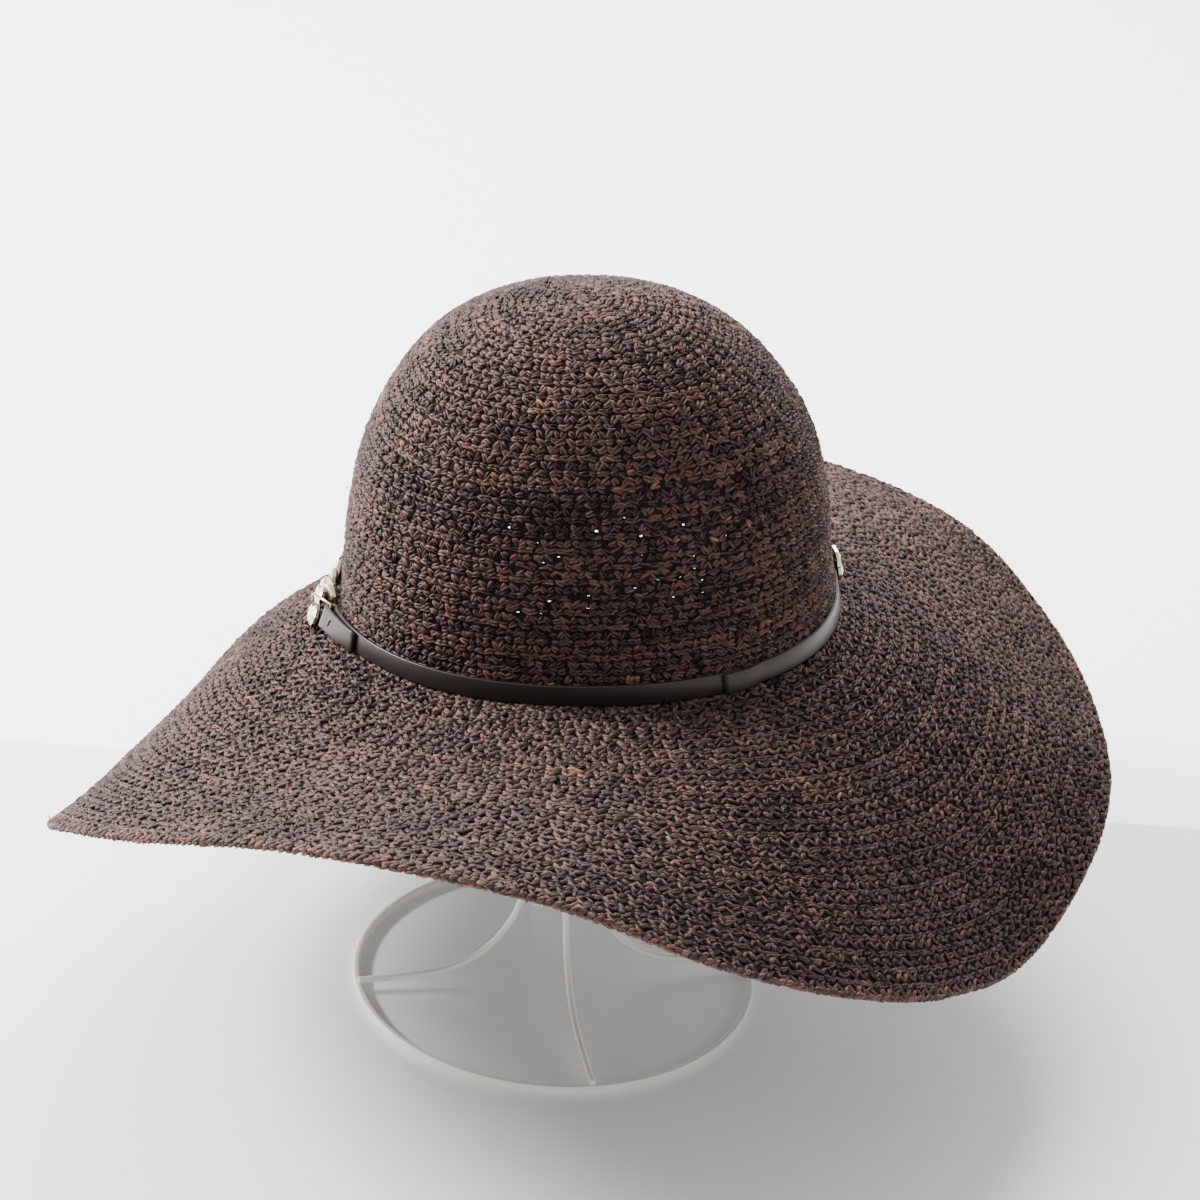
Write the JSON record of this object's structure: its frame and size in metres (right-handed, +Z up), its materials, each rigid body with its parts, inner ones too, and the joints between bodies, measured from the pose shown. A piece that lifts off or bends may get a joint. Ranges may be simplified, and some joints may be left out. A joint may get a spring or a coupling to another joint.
{
  "type": "raffia hat on a wire hat stand",
  "caption": "Wide-brimmed dark brown crocheted raffia hat with a round crown, a thin leather strap and pale hammered metal ornaments, resting on a cream wire hat stand.",
  "frame": {"origin": "on the floor, under the middle of the brim's outline", "axes": "+Z up; X across the hat as the picture shows it; +Y away from the viewer, along the brim's longer side"},
  "size_m": [0.4306, 0.453, 0.321],
  "materials": {
    "dark_raffia": "satin crocheted raffia",
    "strap_leather": "satin smooth leather",
    "pale_gold_metal": "polished hammered",
    "cream_paint": "semi-gloss"
  },
  "bodies": {
    "root": {"crown": "dark_raffia", "brim": "dark_raffia", "strap_front": "strap_leather", "strap_back": "strap_leather", "ornament_left": "pale_gold_metal", "ornament_right": "pale_gold_metal", "wire_stand": "cream_paint"}
  },
  "joints": []
}
